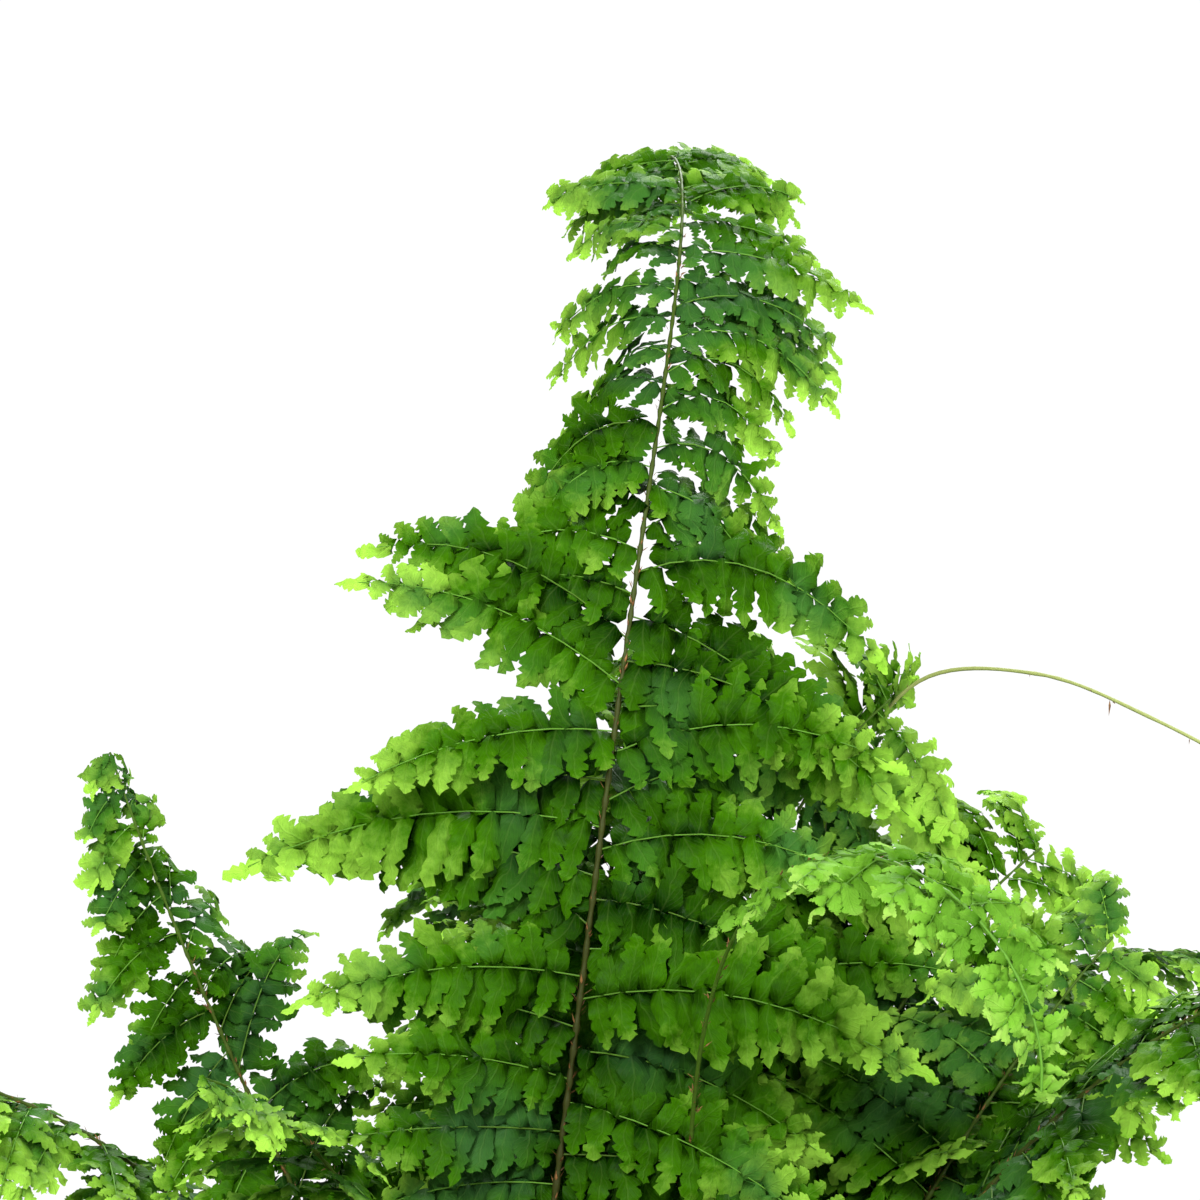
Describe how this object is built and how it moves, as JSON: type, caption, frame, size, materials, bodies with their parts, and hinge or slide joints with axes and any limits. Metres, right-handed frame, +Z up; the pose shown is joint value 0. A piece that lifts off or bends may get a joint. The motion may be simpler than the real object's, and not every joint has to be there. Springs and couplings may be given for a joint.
{
  "type": "potted fern",
  "caption": "Upright fern with arching fronds of ruffled, twice-cut leaflets and thin runners, growing from dark soil in a plain tapered clay pot with a rim band.",
  "frame": {"origin": "middle of the flat foot of the pot", "axes": "+Z up; the viewer of the picture looks along +Y, with +X to the right"},
  "size_m": [0.4802, 0.4888, 0.4489],
  "materials": {
    "clay": "unglazed fired clay, matt, slightly mottled",
    "soil": "dark, crumbly, peaty potting soil",
    "crown": "brown, shaggy with scales",
    "runner": "thin, yellowish green, slightly hairy",
    "leaf": "soft satin, mid to deep green, lighter at the leaflets' tips",
    "young_leaf": "soft satin, bright yellow-green new growth"
  },
  "bodies": {
    "root": {"crown": "crown", "frond_01": "leaf", "frond_02": "leaf", "frond_03": "leaf", "frond_04": "young_leaf", "frond_05": "leaf", "frond_06": "leaf", "frond_07": "leaf", "frond_08": "leaf", "frond_09": "leaf", "frond_10": "leaf", "frond_11": "leaf", "frond_12": "leaf", "frond_13": "leaf", "frond_14": "leaf", "frond_15": "leaf", "frond_16": "leaf", "frond_17": "leaf", "frond_18": "leaf", "frond_19": "leaf", "frond_20": "leaf", "frond_21": "leaf", "frond_22": "leaf", "frond_23": "leaf", "frond_24": "leaf", "frond_25": "leaf", "frond_26": "leaf", "frond_27": "leaf", "pot": "clay", "runner_1": "runner", "runner_2": "runner", "soil": "soil"}
  },
  "joints": []
}
